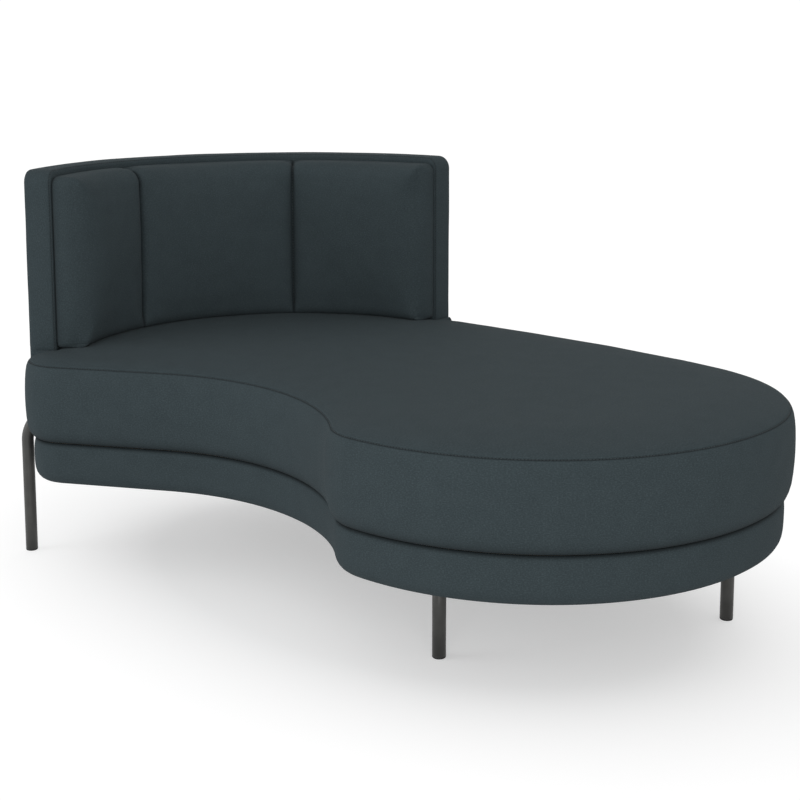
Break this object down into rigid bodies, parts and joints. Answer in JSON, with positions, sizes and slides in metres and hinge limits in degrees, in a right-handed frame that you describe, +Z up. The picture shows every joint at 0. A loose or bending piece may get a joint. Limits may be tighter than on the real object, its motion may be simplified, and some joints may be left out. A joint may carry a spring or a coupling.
{
  "type": "chaise longue",
  "caption": "Kidney-shaped chaise longue with a thick seat cushion on an inset upholstered base, a low curved padded back with channels round the head end, and slim steel tube legs.",
  "frame": {"origin": "on the floor, under the middle of the overall box", "axes": "+X along the length toward the foot end, +Y toward the long rear side, +Z up"},
  "size_m": [1.534, 0.9225, 0.82],
  "materials": {
    "upholstery": "fine flat weave, matt, dark blue-grey",
    "dust_cloth": "thin non-woven cloth, matt",
    "timber": "raw plywood and timber",
    "leg_paint": "satin charcoal powder coat",
    "glide": "matt black"
  },
  "bodies": {
    "root": {"deck_board": "timber", "rim_strip": "timber", "floor_panel": "timber", "cross_rail_1": "timber", "cross_rail_2": "timber", "cross_rail_3": "timber", "cross_rail_4": "timber", "front_leg_block": "timber", "end_leg_block": "timber", "bottom_rib": "timber", "top_rib": "timber", "inner_skin": "timber", "outer_skin": "timber", "back_post_1": "timber", "back_post_2": "timber", "back_post_3": "timber", "back_post_4": "timber", "back_post_5": "timber", "dust_cover": "dust_cloth", "base_band": "upholstery", "seat_cushion": "upholstery", "back_cover": "upholstery", "back_cushion": "upholstery", "front_leg_tube": "leg_paint", "end_leg_tube": "leg_paint", "rear_leg_tube": "leg_paint", "side_leg_tube": "leg_paint", "front_leg_plate": "leg_paint", "end_leg_plate": "leg_paint", "rear_leg_flange": "leg_paint", "side_leg_flange": "leg_paint", "front_leg_glide": "glide", "end_leg_glide": "glide", "rear_leg_glide": "glide", "side_leg_glide": "glide"}
  },
  "joints": []
}
